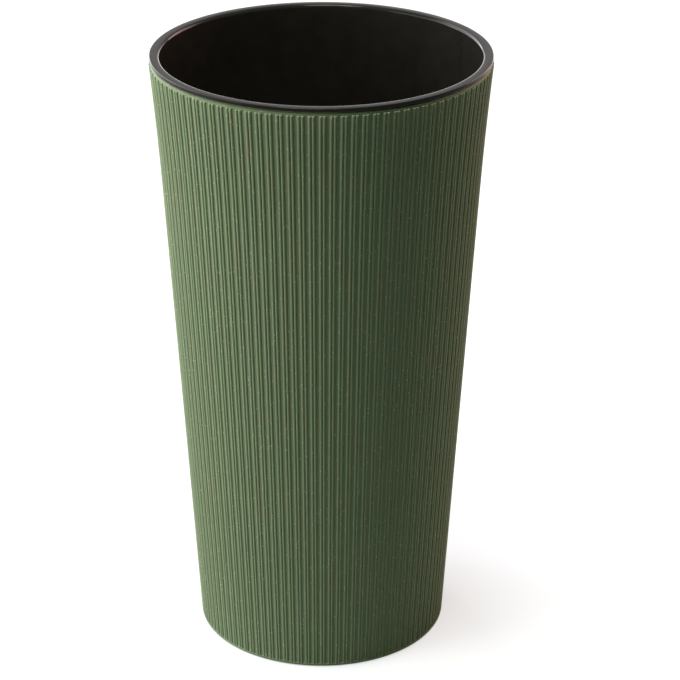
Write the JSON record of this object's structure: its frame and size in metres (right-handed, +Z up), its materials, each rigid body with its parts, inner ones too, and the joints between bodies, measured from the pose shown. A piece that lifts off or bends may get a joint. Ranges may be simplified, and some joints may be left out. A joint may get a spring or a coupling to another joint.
{
  "type": "flower pot",
  "caption": "Tall round tapered planter with vertical ribs in pairs on its outer wall, and a dark lift-out liner whose flat flange rests on the rim.",
  "frame": {"origin": "centre of the base, on the floor", "axes": "+Z up along the pot's axis, towards its mouth; -Y is the side that the picture shows"},
  "size_m": [0.2992, 0.2992, 0.55],
  "materials": {
    "pot_plastic": "matte green-grey plastic with fine wood-fibre flecks",
    "liner_plastic": "satin black plastic"
  },
  "bodies": {
    "outer_pot": {"outer_pot": "pot_plastic"},
    "liner": {"liner": "liner_plastic"}
  },
  "joints": [
    {"name": "liner_lift", "type": "slide", "parent": "outer_pot", "child": "liner", "axis": [0, 0, 1], "range_m": [0, 0.32]}
  ]
}
